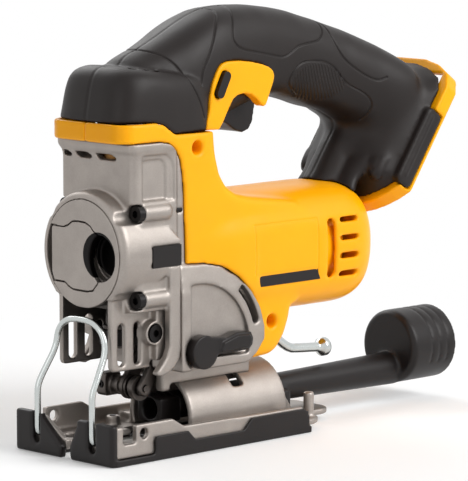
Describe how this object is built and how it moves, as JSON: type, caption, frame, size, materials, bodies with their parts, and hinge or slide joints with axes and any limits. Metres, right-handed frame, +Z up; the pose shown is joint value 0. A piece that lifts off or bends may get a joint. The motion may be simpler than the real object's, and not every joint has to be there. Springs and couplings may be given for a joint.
{
  "type": "cordless jigsaw",
  "caption": "Top-handle cordless jigsaw with a tilting shoe, wire guard, orbital lever, dust spout and a rail plate for a slide-on battery.",
  "frame": {"origin": "on the sole plane of the shoe where the blade axis crosses it, in the mid-plane", "axes": "+Z up along the blade's stroke, -X the cutting direction, -Y the side with the orbital lever"},
  "size_m": [0.2493, 0.0702, 0.2056],
  "materials": {
    "yellow_plastic": "satin moulded",
    "black_rubber": "soft overmould",
    "black_plastic": "fine grain moulded",
    "cast_aluminium": "as cast, satin",
    "zinc": "bright zinc",
    "dark_steel": "black oxide",
    "steel": "ground",
    "bronze": "sintered bronze",
    "brass": "stamped",
    "copper": "turned copper"
  },
  "bodies": {
    "root": {"left_housing": "yellow_plastic", "right_housing": "yellow_plastic", "left_overmould": "black_rubber", "right_overmould": "black_rubber", "switch_plates": "yellow_plastic", "battery_foot": "black_plastic", "battery_plate": "yellow_plastic", "terminal_block": "black_plastic", "terminal_blades": "brass", "gear_case": "cast_aluminium", "front_cover": "cast_aluminium", "disc_cap": "cast_aluminium", "cover_screws": "dark_steel", "case_screws": "dark_steel", "housing_screws": "dark_steel", "plunger_bushes": "bronze", "gear_axle": "steel", "motor_can": "steel", "brush_gear": "black_plastic", "motor_bearings": "steel", "switch_body": "black_plastic", "speed_module": "black_plastic", "trigger_spring": "steel", "release_pin": "steel", "side_badge": "black_plastic", "label_band": "black_plastic", "fork_pin": "steel", "clamp_bolt": "steel", "clamp_plate": "steel"},
    "armature": {"armature_shaft": "steel", "armature_core": "steel", "commutator": "copper", "fan": "black_plastic"},
    "crank": {"crank_gear": "steel", "crank_roller": "steel"},
    "plunger": {"plunger": "steel", "yoke": "steel", "blade_holder": "steel"},
    "collar": {"clamp_collar": "black_plastic"},
    "fork": {"roller_fork": "zinc", "fork_screws": "dark_steel", "roller_pin": "steel"},
    "roller": {"guide_roller": "steel"},
    "orbital": {"orbital_lever": "black_plastic"},
    "release": {"release_lever": "cast_aluminium"},
    "trigger": {"trigger": "black_plastic"},
    "lock": {"lock_button": "black_plastic"},
    "shoe": {"shoe": "cast_aluminium", "bevel_barrel": "cast_aluminium", "shoe_cover": "black_plastic", "splinter_insert": "zinc", "wire_guard": "zinc", "shoe_screws": "dark_steel", "dust_spout": "black_plastic"},
    "lever": {"bevel_lever": "zinc"}
  },
  "joints": [
    {"name": "trigger_pull", "type": "slide", "parent": "root", "child": "trigger", "axis": [0.3, 0, 0.9539], "range_m": [0, 0.005], "stiffness_N_per_m": 400, "springref_m": -0.004, "deforming": ["trigger_spring"]},
    {"name": "lock_slide", "type": "slide", "parent": "root", "child": "lock", "axis": [0, 1, 0], "range_m": [0, 0.003]},
    {"name": "orbital_swing", "type": "hinge", "parent": "root", "child": "orbital", "pos_m": [0.025, -0.0295, 0.0465], "axis": [0, -1, 0], "range_deg": [0, 75]},
    {"name": "release_swing", "type": "hinge", "parent": "root", "child": "release", "pos_m": [-0.0208, 0.0206, 0.0931], "axis": [0, 0, -1], "range_deg": [0, 40], "stiffness_Nm_per_rad": 0.05, "springref_deg": -22.92},
    {"name": "blade_stroke", "type": "slide", "parent": "root", "child": "plunger", "axis": [0, 0, 1], "range_m": [-0.013, 0.013]},
    {"name": "collar_twist", "type": "hinge", "parent": "plunger", "child": "collar", "pos_m": [0, 0, 0.0535], "axis": [0, 0, 1], "range_deg": [0, 30], "stiffness_Nm_per_rad": 0.01, "springref_deg": -17.19},
    {"name": "crank_spin", "type": "hinge", "parent": "root", "child": "crank", "pos_m": [0.023, 0, 0.11325], "axis": [1, 0, 0], "continuous": true},
    {"name": "armature_spin", "type": "hinge", "parent": "root", "child": "armature", "pos_m": [0.08, 0, 0.087], "axis": [1, 0, 0], "continuous": true},
    {"name": "fork_rock", "type": "hinge", "parent": "root", "child": "fork", "pos_m": [0.021, 0, 0.043], "axis": [0, 1, 0], "range_deg": [-2, 2]},
    {"name": "roller_spin", "type": "hinge", "parent": "fork", "child": "roller", "pos_m": [0.01, 0, 0.028], "axis": [0, 1, 0], "continuous": true},
    {"name": "shoe_bevel", "type": "hinge", "parent": "root", "child": "shoe", "pos_m": [0.06, 0, 0.0125], "axis": [1, 0, 0], "range_deg": [-45, 45]},
    {"name": "lever_swing", "type": "hinge", "parent": "root", "child": "lever", "pos_m": [0.0605, 0, 0.0465], "axis": [0, 0, 1], "range_deg": [0, 30]}
  ],
  "couplings": [
    {"joint": "armature_spin", "follows": "crank_spin", "ratio": -4}
  ]
}
